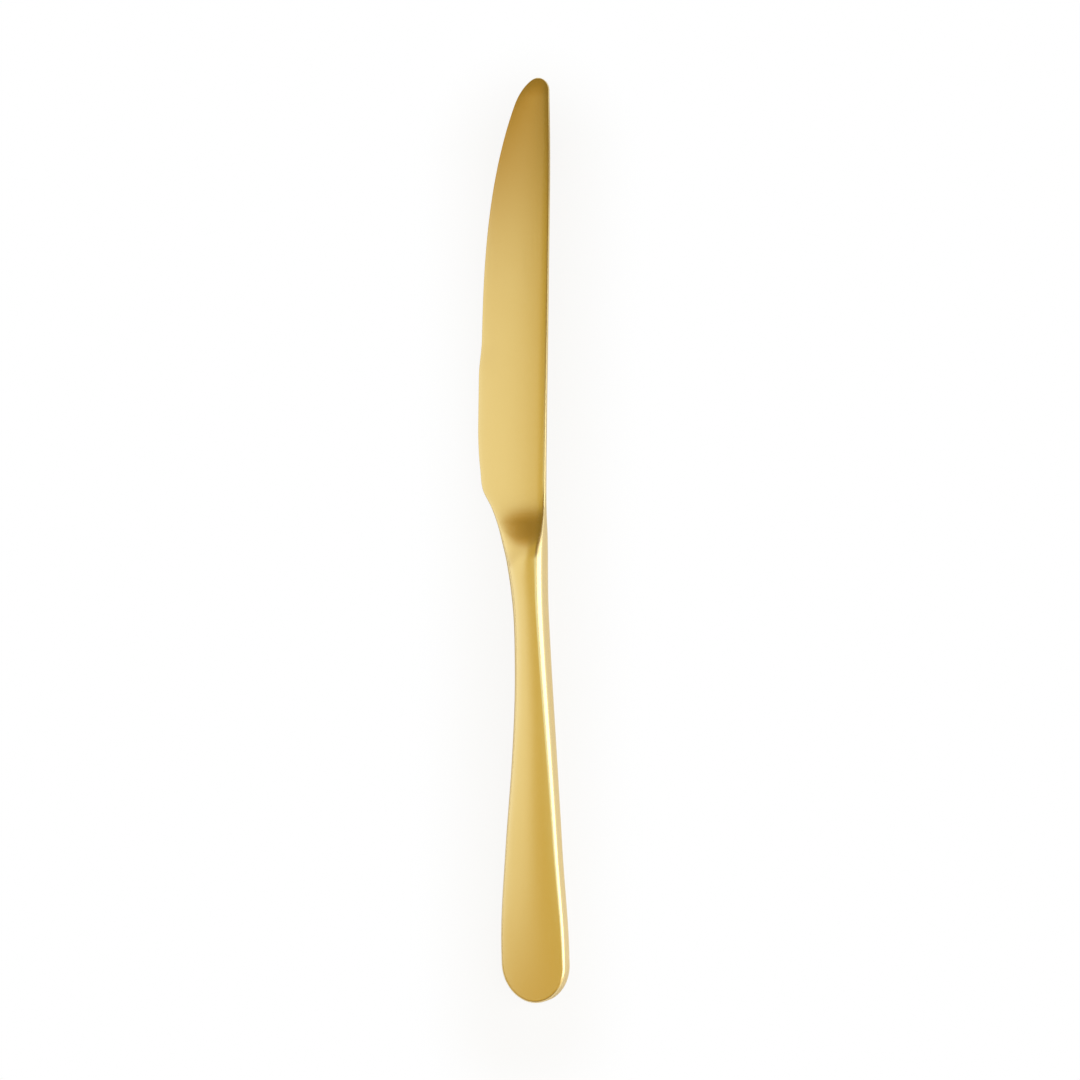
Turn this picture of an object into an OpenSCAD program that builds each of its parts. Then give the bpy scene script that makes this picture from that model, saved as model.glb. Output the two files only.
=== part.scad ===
// Table knife with a hollow handle, lying on its back face.
// Shapes are worked out in the knife's own frame: x across the blade from the
// handle's centre line towards the spine, y from the butt end towards the tip,
// z up from the middle plane. The lay() module then sets the knife on the table.

/* [Handle] */
// Length of the handle with its bolster, from the butt end to the blade
handle_len = 115.3; // [105:0.1:125]
// Greatest width of the handle, near the butt
butt_w = 17.1; // [15:0.1:19]
// Length of the round end of the butt
butt_cap = 9.9; // [8:0.1:12]
// How far the round end leans to the spine side
butt_lean = 0.75; // [0:0.05:1]
// Distance from the centre line to the edge side at the waist
waist_edge = 4.6; // [4.2:0.05:5.4]
// Distance from the centre line to the spine side at the neck
neck_spine = 3.05; // [2.6:0.05:3.5]
// Thickness of the handle at the butt end
butt_t = 4.75; // [4.2:0.05:6]
// Thickness of the handle at the neck
neck_t = 7.7; // [6.8:0.05:8.6]
// Radius of the shoulders at the butt end
butt_r = 0.75; // [0.4:0.05:1.1]
// Radius of the shoulders at the neck
neck_r = 2.1; // [1.5:0.05:2.4]
// Radius of the crowned faces across the butt
butt_crown = 280; // [150:5:600]
// Radius of the crowned faces across the neck
neck_crown = 23; // [16:1:60]
// Width of the flat land on the back, at the butt end
land_w = 9; // [6:0.5:11]
// Length along which the flat land runs out
land_len = 60; // [45:1:80]

/* [Blade] */
// Length of the blade, from the end of the handle to the tip
blade_len = 119.7; // [112:0.1:128]
// Greatest width of the blade, from the spine to the cutting edge
blade_w = 18.3; // [16:0.1:20]
// Length of the belly, from the tip to the widest place
belly_len = 89; // [80:0.5:93]
// Width of the blade at the tip, before the tip is rounded
tip_w = 6.2; // [5:0.1:7]
// Length of the round at the tip on the edge side
tip_round_edge = 6.6; // [5.5:0.1:7.5]
// Length of the round at the tip on the spine side
tip_round_spine = 3.3; // [2.5:0.1:4.5]
// Distance from the centre line to the spine at the heel
heel_spine = 3.1; // [2.4:0.05:3.4]
// Distance from the centre line to the spine near the tip
tip_spine = 4.1; // [3.4:0.05:4.8]
// Thickness of the spine at the tip
tip_t = 1.15; // [0.9:0.05:1.4]
// Thickness of the spine at the heel
heel_t = 1.5; // [1.2:0.05:2]
// Thickness of the ground cutting edge
edge_t = 0.3; // [0.2:0.02:0.4]
// Thickness of the plain edge near the heel
heel_edge_t = 0.4; // [0.36:0.02:0.5]
// How far the cutting edge is ground back
grind_depth = 0.6; // [0.2:0.05:0.8]
// Distance from the tip to the middle of the step where the grinding stops
grind_len = 71; // [60:0.5:76]
// Length of that step
grind_step = 9; // [5:0.5:12]
// Width of the band beside the spine that rolls off to its corner
spine_roll_w = 2.4; // [1.4:0.1:3]
// Depth of that roll-off
spine_roll = 0.15; // [0.08:0.01:0.18]

/* [Bolster] */
// Length of the ramp, from the blade to the crest of the bolster
ramp_len = 17.8; // [16:0.1:20]
// Radius of the hollow at the foot of the ramp
ramp_r = 43; // [36:1:50]
// How far the crest lies behind the end of the handle
crest_back = 0.8; // [0.4:0.1:1.6]
// Height over which the ramp and the bolster blend at the crest
crest_blend = 1; // [0.4:0.05:1.2]
// Length of the solid bolster, from the mouth of the handle to its end
bolster_len = 8.3; // [6:0.1:11]
// Length over which the bolster's round shoulder turns into the sharp spine
corner_run = 10; // [6:0.5:12]
// How far the bolster's face falls away on its edge side
flank_drop = 1.1; // [0.8:0.05:1.4]
// Length over which it falls away, from the mouth of the handle
flank_run = 11; // [8:0.5:14]

/* [Inside] */
// Thickness of the pressed sheet of the handle shells
wall = 1.0; // [0.7:0.05:1.1]
// Thickness of the braze between the two shells
braze_t = 0.1; // [0.06:0.01:0.16]
// Clearance between pieces that fit into each other
fit_gap = 0.05; // [0.02:0.01:0.1]
// Length of the spigot that enters the mouth of the handle
spigot_len = 3; // [2:0.1:5]
// Length of the tang behind the spigot
tang_len = 40; // [30:1:48]
// Width of the tang where it leaves the spigot
tang_w = 4.6; // [4:0.1:4.9]
// Width of the tang at its end
tang_end_w = 3.6; // [3:0.1:4]
// Thickness of the tang
tang_t = 2.8; // [2.2:0.1:3.2]
// Depth of the notches that key the tang into the cement
notch_depth = 0.7; // [0.3:0.05:0.9]
// Length of each notch
notch_len = 5; // [3:0.5:6]
// Radius of the tang's corners
tang_r = 0.4; // [0.2:0.05:0.6]
// Length of the cement beyond the end of the tang
cement_over = 9; // [6:0.5:20]

/* [Hidden] */

// Segments of a shoulder, and places across a face, as shares of its width
shoulder_steps = 5;
face_shares = [0.08, 0.2, 0.35, 0.5, 0.65, 0.79, 0.9, 0.955];
half_count = 2 * shoulder_steps + len(face_shares) + 4;

// Least radius left inside a shell's corner
inner_r_least = wall / 5;
// Shares of the height and width at a place that its corners may take
corner_height_share = 0.85;
corner_width_share = 0.42;
// Share of the half thickness that the blade's spine corner takes
spine_corner_share = 0.22;

// Spine side of the handle: share of the handle's length from the butt, and
// share of the way out from the neck to the butt's full half width
spine_side_shares = [
    [0.114, 1],
    [0.334, 0.72],
    [0.555, 0.43],
    [0.665, 0.276],
    [0.775, 0.132],
    [0.886, 0.018],
    [1, 0]
];
// Edge side of the handle, from the butt to the waist, in the same way
edge_side_shares = [
    [0.114, 1],
    [0.334, 0.665],
    [0.555, 0.171],
    [0.665, 0.02],
    [0.753, 0]
];
// Heel: share of the way from the waist to the widest place of the blade, and
// share of the way out from the waist to the cutting edge
heel_side_shares = [
    [0.25, 0.062],
    [0.4, 0.19],
    [0.5, 0.34],
    [0.58, 0.475],
    [0.665, 0.67],
    [0.73, 0.867],
    [0.82, 0.943],
    [1, 1]
];
// Spine of the blade: share of the blade's length from the handle's end, and
// share of the way from the heel's offset to the tip's offset
spine_line_shares = [
    [0.14, 0],
    [0.53, 0.616],
    [0.85, 1],
    [1, 0.82]
];
// Place of the tip's apex across the blade's end, from the edge side
apex_share = 0.51;
// Share of the blade's width, from the edge, at which the blade is thickest
crest_share = 0.75;
// Powers of the belly curve and of the roll-off beside the spine
belly_power = 3.87;
roll_power = 3;
// Share of the bolster's width over which its edge side falls away, the power
// of that fall, and the share of its height that the ramp loses there
flank_share = 0.72;
flank_power = 2;
ramp_fall_share = 0.55;

overall_len = handle_len + blade_len;
widest_y = overall_len - belly_len;
waist_y = edge_side_shares[4][0] * handle_len;
crest_y = handle_len - crest_back;
ramp_top = crest_y + ramp_len;
mouth_y = handle_len - bolster_len;
spigot_y = mouth_y - spigot_len;
tang_y = spigot_y - tang_len;
cement_y = tang_y - cement_over;

function mix(a, b, t) = a + (b - a) * t;
function clamp01(t) = min(1, max(0, t));
function smooth(t) = let(s = clamp01(t)) s * s * (3 - 2 * s);

// Smooth curve through points [place, value], level at both ends
function secant(p, i) = (p[i + 1][1] - p[i][1]) / (p[i + 1][0] - p[i][0]);
function knot_slope(p, i) =
    i == 0 || i == len(p) - 1 ? 0
    : let(before = p[i][0] - p[i - 1][0], after = p[i + 1][0] - p[i][0])
        (secant(p, i - 1) * after + secant(p, i) * before) / (before + after);
function curve(p, u) =
    let(
        v = min(max(u, p[0][0]), p[len(p) - 1][0]),
        i = max([for (k = [0 : len(p) - 2]) if (k == 0 || v > p[k][0]) k]),
        h = p[i + 1][0] - p[i][0],
        t = (v - p[i][0]) / h
    )
    p[i][1] * (1 + 2 * t) * (1 - t) * (1 - t)
    + knot_slope(p, i) * h * t * (1 - t) * (1 - t)
    + p[i + 1][1] * t * t * (3 - 2 * t)
    - knot_slope(p, i + 1) * h * t * t * (1 - t);

// Spine side from the butt to the tip, before any end is rounded
spine_points = concat(
    [for (s = spine_side_shares) [s[0] * handle_len, mix(neck_spine, butt_w / 2, s[1])]],
    [for (s = spine_line_shares) [handle_len + s[0] * blade_len, mix(heel_spine, tip_spine, s[1])]]
);
function spine_x(y) = curve(spine_points, y);

// Edge side from the butt through the heel to the widest place of the blade
edge_points = concat(
    [for (s = edge_side_shares) [s[0] * handle_len, -mix(waist_edge, butt_w / 2, s[1])]],
    [for (s = heel_side_shares)
        [mix(waist_y, widest_y, s[0]), mix(-waist_edge, spine_x(widest_y) - blade_w, s[1])]]
);
// Width of the blade along the belly, with the step where the grinding stops
function belly_w(y) =
    let(
        d = overall_len - y,
        ground = grind_depth * (1 - smooth((d - grind_len) / grind_step + 0.5)),
        narrowing = blade_w - grind_depth - tip_w
    )
    blade_w - ground - narrowing * pow(clamp01(1 - d / belly_len), belly_power);
// Line of the cutting edge, as if no heel or tip cut it short
function grind_x(y) = spine_x(y) - belly_w(y);
function edge_x(y) = y < widest_y ? curve(edge_points, y) : grind_x(y);

// Rounds of the tip: how far each side draws in towards the apex
function round_in(d, size) = d < size ? 1 - sqrt(max(0, 1 - pow(1 - d / size, 2))) : 0;
function left_x(y) =
    edge_x(y) + belly_w(overall_len) * apex_share * round_in(overall_len - y, tip_round_edge);
function right_x(y) =
    spine_x(y) - belly_w(overall_len) * (1 - apex_share) * round_in(overall_len - y, tip_round_spine);

// Half thickness of the blade, from its edge to its spine
function spine_half(y) = mix(tip_t, heel_t, clamp01((overall_len - y) / (overall_len - ramp_top))) / 2;
function edge_half(y) =
    mix(edge_t, heel_edge_t, smooth((overall_len - y - grind_len) / grind_step + 0.5)) / 2;
function grind_rise(f) = (1 - pow(1 - f / crest_share, 2)) / (1 - pow(1 - 1 / crest_share, 2));
function blade_z(x, y) =
    let(
        f = clamp01((x - grind_x(y)) / (spine_x(y) - grind_x(y))),
        roll = clamp01((x - spine_x(y) + spine_roll_w) / spine_roll_w)
    )
    mix(edge_half(y), spine_half(y), grind_rise(f))
    - spine_roll * spine_half(y) * 2 / heel_t * pow(roll, roll_power);

// Half thickness of the handle and the bolster, crowned across
function handle_half(y) = mix(butt_t, neck_t, y / handle_len) / 2;
function crown_bend(y) = mix(1 / butt_crown, 1 / neck_crown, clamp01(y / handle_len));
function mid_x(y) = (edge_x(y) + spine_x(y)) / 2;
function lean(y) = butt_lean * pow(clamp01(1 - y / (3 * butt_cap)), 2);
function land_half(y) = land_w / 2 * clamp01(1 - y / land_len);
function fall(x, y) =
    let(w = (spine_x(y) - edge_x(y)) * flank_share)
    pow(clamp01(1 - (x - edge_x(y)) / w), flank_power);
function flank(x, y) = flank_drop * fall(x, y) * smooth((y - mouth_y) / flank_run);
function handle_z(x, y, land) =
    handle_half(y)
    - pow(max(0, abs(x - mid_x(y) - lean(y)) - land), 2) * crown_bend(y) / 2
    - flank(x, y);

// Ramp: a hollow arc rises from the blade and runs on straight to the crest,
// lower on the edge side
ramp_rise = (neck_t - heel_t) / 2;
ramp_slope = (ramp_len - sqrt(max(0, ramp_len * ramp_len - 2 * ramp_r * ramp_rise))) / ramp_r;
arc_len = ramp_slope * ramp_r;
function hollow(y) =
    let(d = max(0, ramp_top - y))
    d < arc_len ? d * d / (2 * ramp_r) : ramp_slope * (d - arc_len / 2);
function ramp_z(x, y) = blade_z(x, y) + hollow(y) * (1 - ramp_fall_share * fall(x, y));
// Lower one of two heights, blended where they lie within k of each other
function soft_min(a, b, k) = let(near = clamp01(1 - abs(a - b) / k)) min(a, b) - near * near * k / 4;
function blend_at(y) =
    crest_blend * smooth((y - mouth_y) / bolster_len) * smooth(2 * (ramp_top - y) / ramp_len);
// Face height anywhere: the blade, the ramp, then the bolster and the handle
function face_z(x, y, land = 0) =
    y >= ramp_top ? blade_z(x, y)
    : y > mouth_y ? soft_min(ramp_z(x, y), handle_z(x, y, 0), blend_at(y))
    : handle_z(x, y, land);

// Radii of the shoulders on the edge side and on the spine side
function handle_r(y) = mix(butt_r, neck_r, clamp01(y / handle_len));
function left_r(y, z, w) =
    min(handle_r(y), z * corner_height_share, w * corner_width_share);
function right_r(y, z, w) =
    min(
        mix(z * spine_corner_share, handle_r(y), smooth((handle_len - y) / corner_run + 0.5)),
        z * corner_height_share,
        w * corner_width_share
    );

// Upper half of a section. The side points p_left and p_right carry the plan
// directions n_left and n_right that point out of the solid. The section lies
// inset inside the outer surface, and its walls stand on the height foot.
function half_section(p_left, p_right, n_left, n_right, inset, foot, land) =
    let(
        a = p_left - n_left * inset,
        b = p_right - n_right * inset,
        w = b[0] - a[0],
        step = w / 50,
        za = face_z(a[0], a[1], land) - inset,
        zb = face_z(b[0], b[1], land) - inset,
        ra = max(left_r(a[1], za + inset, w + 2 * inset) - inset, min(inner_r_least, w / 5, za / 2)),
        rb = max(right_r(b[1], zb + inset, w + 2 * inset) - inset, min(inner_r_least, w / 5, zb / 2)),
        fa = atan((face_z(a[0] + ra + step, a[1], land) - face_z(a[0] + ra, a[1], land)) / step),
        fb = atan((face_z(b[0] - rb - step, b[1], land) - face_z(b[0] - rb, b[1], land)) / step),
        qa = a - n_left * ra * (1 - sin(fa)),
        qb = b - n_right * rb * (1 - sin(fb)),
        ca = face_z(qa[0], qa[1], land) - inset - ra * cos(fa),
        cb = face_z(qb[0], qb[1], land) - inset - rb * cos(fb)
    )
    concat(
        [[a[0], a[1], foot]],
        [for (i = [0 : shoulder_steps])
            let(t = mix(90, fa, i / shoulder_steps), q = a - n_left * ra * (1 - sin(t)))
            [q[0], q[1], ca + ra * cos(t)]],
        [for (s = face_shares)
            let(q = mix(qa, qb, s))
            [q[0], q[1], face_z(q[0], q[1], land) - inset]],
        [for (i = [0 : shoulder_steps])
            let(t = mix(fb, 90, i / shoulder_steps), q = b - n_right * rb * (1 - sin(t)))
            [q[0], q[1], cb + rb * cos(t)]],
        [[b[0], b[1], foot]]
    );

// Section square to the length, anywhere between the butt's round end and the tip
function straight_half(y, inset, foot, land) =
    half_section(
        [left_x(y) + lean(y), y], [right_x(y) + lean(y), y], [-1, 0], [1, 0], inset, foot, land
    );
// Section whose ends follow the butt's round end, at the angle t from its apex
function cap_half(t, inset, foot, land) =
    let(
        y = butt_cap * (1 - cos(t)),
        n = [butt_cap * sin(t), -butt_w / 2 * cos(t)] / norm([butt_cap * sin(t), butt_w / 2 * cos(t)]),
        m = lean(y)
    )
    half_section(
        [m + edge_x(y) * sin(t), y], [m + spine_x(y) * sin(t), y], [-n[0], n[1]], n, inset, foot, land
    );

// Whole section: the upper half, and its mirror image below
function whole(half) =
    concat(half, [for (i = [len(half) - 2 : -1 : 1]) [half[i][0], half[i][1], -half[i][2]]]);

// Places of the sections along the handle, from the mouth to the butt's round end
body_steps = 15;
cap_steps = 9;
apex_turn = 1.2;
body_shares = [for (i = [0 : body_steps]) i / body_steps];
cap_turns = [for (i = [1 : cap_steps]) mix(90, apex_turn, pow(i / cap_steps, 0.85))];
function shell_halves(inset, foot, land_on) =
    concat(
        [for (s = body_shares)
            let(y = mix(mouth_y, butt_cap, s))
            straight_half(y, inset, foot, land_on ? land_half(y) : 0)],
        [for (t = cap_turns) cap_half(t, inset, foot, land_on ? land_half(0) : 0)]
    );

// Faces between two neighbouring sections of n points, open or closed across
function strip(i, n, closed, flip) =
    [for (j = [0 : closed ? n - 1 : n - 2])
        let(a = i * n + j, b = i * n + (j + 1) % n, c = b + n, d = a + n)
        each flip ? [[a, c, b], [a, d, c]] : [[a, b, c], [a, c, d]]];
function turned(faces) = [for (f = faces) [for (i = [len(f) - 1 : -1 : 0]) f[i]]];
// Flat end over the section of n points that starts at point number first. It
// fans out from the middle of a rounded corner, where no three points line up
function end_cap(first, n) = [for (j = [0 : n - 1]) first + (j + floor(shoulder_steps / 2) + 1) % n];

// Closed solid through a row of whole sections
module loft(sections) {
    n = len(sections[0]);
    last = len(sections) - 1;
    polyhedron(
        points = [for (s = sections) each s],
        faces = concat(
            turned([end_cap(0, n)]),
            [for (i = [0 : last - 1]) each strip(i, n, true, false)],
            [end_cap(last * n, n)]
        )
    );
}

// Stations of the blade, from the tip to the mouth of the handle
tip_steps = 9;
belly_steps = 15;
step_steps = 4;
heel_steps = 7;
ramp_steps = 18;
bolster_steps = 7;
tip_zone = max(tip_round_edge, tip_round_spine);
first_share = 0.3;
step_end = overall_len - grind_len - grind_step / 2;
step_start = step_end + grind_step;
blade_stations = concat(
    [for (i = [0 : tip_steps - 1])
        overall_len - tip_zone * (1 - cos(90 * (i + first_share) / (tip_steps + first_share)))],
    [for (i = [0 : belly_steps - 1]) mix(overall_len - tip_zone, step_start, pow(i / belly_steps, 1.2))],
    [for (i = [0 : step_steps - 1]) mix(step_start, step_end, i / step_steps)],
    [for (i = [0 : heel_steps - 1]) mix(step_end, ramp_top, i / heel_steps)],
    [for (i = [0 : ramp_steps - 1]) mix(ramp_top, crest_y, i / ramp_steps)],
    [for (i = [0 : bolster_steps]) mix(crest_y, mouth_y, i / bolster_steps)]
);

// Tang: a straight bar along the cavity, with a pair of notches on each side
function tang_mid(y) =
    mix(mid_x(tang_y), mid_x(spigot_y), (y - tang_y) / (spigot_y - tang_y));
function tang_half(y, w, grow) =
    let(
        x = tang_mid(y),
        hw = w / 2 + grow,
        hz = tang_t / 2 + grow,
        r = tang_r + grow
    )
    concat(
        [[x - hw, y, 0]],
        [for (i = [0 : shoulder_steps])
            let(t = 90 * (1 - i / shoulder_steps)) [x - hw + r * (1 - sin(t)), y, hz - r * (1 - cos(t))]],
        [for (s = face_shares) [x + mix(r - hw, hw - r, s), y, hz]],
        [for (i = [0 : shoulder_steps])
            let(t = 90 * i / shoulder_steps) [x + hw - r * (1 - sin(t)), y, hz - r * (1 - cos(t))]],
        [[x + hw, y, 0]]
    );
// Place along the tang, share of its length from the spigot, notched or not
notch_shares = [0.3, 0.68];
function tang_width(s) = mix(tang_w, tang_end_w, s);
function tang_run(grow) =
    concat(
        [whole(tang_half(spigot_y, tang_w, grow))],
        [for (s = notch_shares)
            let(
                y = mix(spigot_y, tang_y, s),
                w = tang_width(s),
                ramp_off = notch_depth / 2
            )
            for (k = [[notch_len / 2, 0], [notch_len / 2 - ramp_off, 1], [ramp_off - notch_len / 2, 1],
                      [-notch_len / 2, 0]])
                whole(tang_half(y + k[0], w - 2 * notch_depth * k[1], grow))],
        [whole(tang_half(tang_y - grow, tang_end_w, grow))]
    );

// Blade, ramp, bolster, spigot and tang, forged in one piece
module blade() {
    color([0.86, 0.73, 0.43])
        loft(concat(
            [for (y = blade_stations) whole(straight_half(y, 0, 0, 0))],
            [for (y = [mouth_y, spigot_y]) whole(straight_half(y, wall + fit_gap, 0, 0))],
            tang_run(0)
        ));
}

// Pressed half shell of the handle, from its mouth to the closed butt end
module shell(land_on) {
    outer = shell_halves(0, braze_t / 2, land_on);
    inner = shell_halves(wall, braze_t / 2, land_on);
    n = half_count;
    last = len(outer) - 1;
    shift = (last + 1) * n;
    // Skin of one surface: its strips, and the narrow closing at the apex
    skin = concat(
        [for (i = [0 : last - 1]) each strip(i, n, false, false)],
        [for (j = [0 : shoulder_steps - 1])
            each [
                [last * n + j, last * n + j + 1, last * n + n - 2 - j],
                [last * n + j, last * n + n - 2 - j, last * n + n - 1 - j]
            ]],
        [[for (j = [shoulder_steps : n - 1 - shoulder_steps]) last * n + j]]
    );
    // Rims: the seam on both sides, its closing at the apex, and the mouth
    seam = concat(
        [for (i = [0 : last - 1])
            let(a = i * n, b = a + n, c = b + shift, d = a + shift)
            each [[a, b, c], [a, c, d]]],
        [for (i = [0 : last - 1])
            let(a = i * n + n - 1, b = a + n, c = b + shift, d = a + shift)
            each [[a, c, b], [a, d, c]]],
        [let(a = last * n, b = a + n - 1) [a, b, b + shift, a + shift]]
    );
    mouth = [for (j = [0 : n - 2])
        each [[j, j + 1 + shift, j + 1], [j, j + shift, j + 1 + shift]]];
    polyhedron(
        points = concat([for (s = outer) each s], [for (s = inner) each s]),
        faces = concat(skin, turned([for (f = skin) [for (i = f) i + shift]]), seam, mouth)
    );
}

module handle_shell_front() {
    color([0.85, 0.71, 0.4]) shell(false);
}

module handle_shell_back() {
    color([0.8, 0.66, 0.36]) mirror([0, 0, 1]) shell(true);
}

// Braze on the middle plane, round the whole seam of the two shells
module seam_braze() {
    outer = shell_halves(0, braze_t / 2, false);
    inner = shell_halves(wall, braze_t / 2, false);
    last = len(outer) - 1;
    function bar(o, i) = [o, i, [i[0], i[1], -i[2]], [o[0], o[1], -o[2]]];
    color([0.93, 0.83, 0.6])
        loft(concat(
            [for (i = [0 : last]) bar(outer[i][0], inner[i][0])],
            [for (i = [last : -1 : 0])
                bar(outer[i][half_count - 1], inner[i][half_count - 1])]
        ));
}

// Cement that fills the front of the handle round the tang
cement_steps = 9;
module tang_cement() {
    skin = [for (i = [0 : cement_steps])
        let(y = mix(spigot_y - fit_gap, cement_y, i / cement_steps))
        whole(straight_half(y, wall + fit_gap, 0, 0))];
    pocket = [for (s = tang_run(fit_gap)) [for (p = s) [p[0], min(p[1], spigot_y - fit_gap), p[2]]]];
    n = len(skin[0]);
    rows = len(skin);
    turn = len(pocket);
    color([0.78, 0.76, 0.72])
        polyhedron(
            points = concat([for (s = skin) each s], [for (s = pocket) each s]),
            faces = concat(
                [for (i = [0 : rows - 2]) each strip(i, n, true, false)],
                [end_cap((rows - 1) * n, n)],
                [for (i = [rows : rows + turn - 2]) each strip(i, n, true, true)],
                turned([end_cap((rows + turn - 1) * n, n)]),
                [for (j = [0 : n - 1])
                    let(a = j, b = (j + 1) % n, c = rows * n + b, d = rows * n + a)
                    each [[a, c, b], [a, d, c]]]
            )
        );
}

// The knife lies with the straight line of the handle's back on the table
lie_angle = atan((neck_t - butt_t) / 2 / handle_len);
lift = butt_t / 2 * cos(lie_angle);
edge_reach = blade_w - spine_x(widest_y);
butt_reach = butt_w / 2 + lean(butt_cap);
module lay() {
    translate([(edge_reach - butt_reach) / 2, -overall_len / 2 * cos(lie_angle), lift])
        rotate([lie_angle, 0, 0])
            children();
}

lay() blade();
lay() handle_shell_front();
lay() handle_shell_back();
lay() seam_braze();
lay() tang_cement();
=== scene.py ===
# %% [markdown]
# # Table knife in satin gold
#
# This lesson dresses a table knife for a render. The imported CAD model is the
# fixed frame: it says where every piece is and how large. The CAD pieces are
# coarse, so the pieces that show are built again here from the same sizes, with
# many more points, and then get a finish.
# The real knife is a forged blade with a bolster, a handle of two pressed half
# shells brazed together, and cement that holds the tang inside the handle.

# %% Load the frame
import math

import bpy
import numpy as np
from mathutils import Matrix, Vector


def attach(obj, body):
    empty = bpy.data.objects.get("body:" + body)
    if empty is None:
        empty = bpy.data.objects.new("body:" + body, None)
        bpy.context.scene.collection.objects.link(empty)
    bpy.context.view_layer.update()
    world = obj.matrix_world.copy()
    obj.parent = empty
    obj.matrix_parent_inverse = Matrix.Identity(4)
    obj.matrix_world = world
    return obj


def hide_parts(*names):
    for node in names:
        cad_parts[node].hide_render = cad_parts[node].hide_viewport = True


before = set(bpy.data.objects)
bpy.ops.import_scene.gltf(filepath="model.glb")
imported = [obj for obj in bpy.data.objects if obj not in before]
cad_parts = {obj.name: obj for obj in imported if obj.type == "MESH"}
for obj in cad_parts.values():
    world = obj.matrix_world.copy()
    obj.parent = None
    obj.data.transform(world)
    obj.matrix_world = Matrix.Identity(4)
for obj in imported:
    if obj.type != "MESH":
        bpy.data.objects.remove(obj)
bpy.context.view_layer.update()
print("CAD nodes:", sorted(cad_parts))

# %% [markdown]
# ## How the knife lies
#
# All shapes are worked out in the knife's own frame, in millimetres: x runs
# across the blade towards the spine, y from the butt end to the tip, and z up
# from the middle plane. The handle is thicker at the neck than at the butt, so
# a knife that lies on the table is tilted by a small angle. `on_table` turns
# points of the knife's frame into the frame of the CAD model, in metres.

# %% The knife's place on the table
MM = 0.001
HANDLE_LEN, BLADE_LEN = 115.3, 119.7
BUTT_T, NECK_T = 4.75, 7.7
SHIFT_X = 3.09

OVERALL = HANDLE_LEN + BLADE_LEN
LIE = math.atan((NECK_T - BUTT_T) / 2 / HANDLE_LEN)
LIE_TURN = Matrix.Rotation(LIE, 3, "X")
LIE_START = Vector((SHIFT_X, -OVERALL / 2 * math.cos(LIE), BUTT_T / 2 * math.cos(LIE)))


def on_table(points):
    """Points of the knife's own frame, in mm, as places in the CAD frame, in m."""
    turned = np.asarray(points, float) @ np.array(LIE_TURN).T
    return MM * (turned + np.array(LIE_START))


print("the knife lies tilted by", round(math.degrees(LIE), 2), "degrees")

# %% [markdown]
# ## Camera
#
# The camera looks straight down on a knife that is rolled by 18 degrees about
# its own length, so the spine shows at the right. Rolling the knife would lift
# it off the table, so the camera goes round instead. It is 1.1 m away, and its
# focal length makes the frame cover 274.6 mm at the knife, which is the scale
# found from the length. The camera comes first, because everything is judged
# through it.

# %% Camera
ROLL = math.radians(18)
CAMERA_FAR, SEEN_WIDTH, SENSOR = 1100, 274.6, 36
PAST_AXIS = 1.45

right = Vector((math.cos(ROLL), 0, -math.sin(ROLL)))
back = Vector((math.sin(ROLL), 0, math.cos(ROLL)))
aim = Vector((0, OVERALL / 2, 0)) + right * PAST_AXIS

camera_data = bpy.data.cameras.new("camera")
camera_data.sensor_width = SENSOR
camera_data.lens = SENSOR * CAMERA_FAR / SEEN_WIDTH
camera = bpy.data.objects.new("camera", camera_data)
bpy.context.scene.collection.objects.link(camera)
turn = LIE_TURN @ Matrix((right, (0, 1, 0), back)).transposed()
camera.matrix_world = Matrix.Translation(on_table(aim + back * CAMERA_FAR)) @ turn.to_4x4()
bpy.context.scene.camera = camera
bpy.context.scene.view_settings.view_transform = "Standard"
print("focal length in mm:", round(camera_data.lens, 1))

# %% [markdown]
# ## Lights
#
# Satin metal shows what stands round it, so each light is placed by what a face
# of the knife mirrors. A light here is a panel: an area lamp over a corner and
# two spans. An area lamp spreads its power over pi times its area, so each panel
# is set by how bright it looks, and its power follows.

# %% A panel of light
def panel(name, corner, across, along, brightness, color):
    """A lamp over a parallel-sided panel, in mm from the knife's middle, facing the knife."""
    across, along = Vector(across), Vector(along)
    centre = Vector(corner) + across / 2 + along / 2
    normal = across.cross(along).normalized()
    if normal.dot(centre) < 0:
        normal = -normal
    lamp = bpy.data.lights.new(name, "AREA")
    lamp.shape = "RECTANGLE"
    lamp.size, lamp.size_y = across.length * MM, along.length * MM
    lamp.energy = brightness * math.pi * lamp.size * lamp.size_y
    lamp.color = color
    made = bpy.data.objects.new(name, lamp)
    side = along.normalized().cross(normal)
    turned = Matrix((side, along.normalized(), normal)).transposed()
    made.matrix_world = Matrix.Translation(centre * MM) @ turned.to_4x4()
    bpy.context.scene.collection.objects.link(made)
    print(name, "covers", round(lamp.size, 2), "by", round(lamp.size_y, 2), "m")


print("panels can be placed")

# %% [markdown]
# The camera sees the flat faces mirror the left side of the ceiling. A long pale
# panel hangs there, and the blade and handle turn plain gold. It ends above the
# tip, in a dim amber strip, and beyond that the ceiling is dark: the tip and the
# ramp look that way, so they are brown. Dimmer warm panels hang overhead, for
# the crown of the handle, and over the near end. A stronger panel leans on the
# right. Only the rounded shoulders on the spine side turn far enough to mirror
# it, and they get the bright line along the handle.

# %% Panels overhead
HIGH, LEFT_X, NEAR_Y, FIRST_Y = 370, -110, -160, -450
MAIN_LEN, MAIN_W, END_LEN, END_W = 277, 1090, 83, 590
STRIP_W, CROWN_W, CROWN_LEN, NEAR_W = 100, 180, 190, 870
crown_x, main_end_y = LEFT_X + STRIP_W, NEAR_Y + MAIN_LEN
near_x = crown_x + CROWN_W - NEAR_W

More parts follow.
